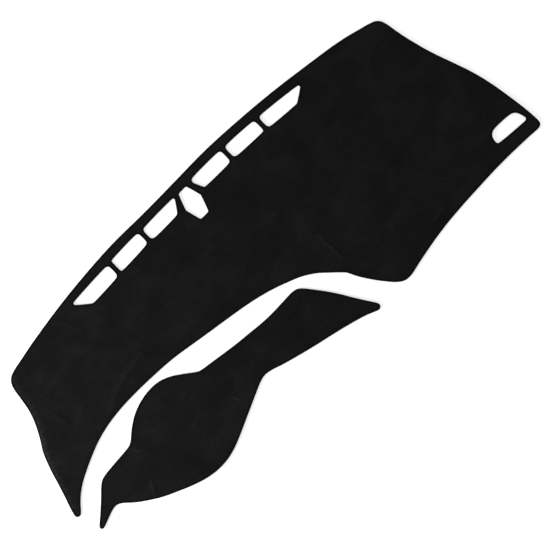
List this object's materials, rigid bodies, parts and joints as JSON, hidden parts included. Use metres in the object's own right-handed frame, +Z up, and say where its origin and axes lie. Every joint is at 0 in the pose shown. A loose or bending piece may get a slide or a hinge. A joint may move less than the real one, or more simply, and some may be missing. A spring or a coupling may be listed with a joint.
{
  "type": "dashboard cover mat",
  "caption": "Flat short-pile cloth cover mat for a car dashboard, with overlocked edges, openings for the windscreen vents and a separate instrument hood piece.",
  "frame": {"origin": "middle of the laid-out mat's plan, on the surface it lies on", "axes": "+X along the windscreen edge from the driver's end to the passenger's end, +Y towards the windscreen, +Z up through the cloth"},
  "size_m": [1.4574, 0.5694, 0.0032],
  "materials": {
    "pile_cloth": "black short-pile cloth, brushed and matte",
    "edge_thread": "black overlock thread, slight sheen"
  },
  "bodies": {
    "root": {"main_panel": "pile_cloth", "hood_panel": "pile_cloth", "main_edge_seam": "edge_thread", "hood_edge_seam": "edge_thread", "driver_outer_vent_seam": "edge_thread", "driver_middle_vent_seam": "edge_thread", "driver_inner_vent_seam": "edge_thread", "sensor_hole_seam": "edge_thread", "passenger_inner_vent_seam": "edge_thread", "passenger_middle_vent_seam": "edge_thread", "passenger_outer_vent_seam": "edge_thread", "side_hole_seam": "edge_thread"}
  },
  "joints": []
}
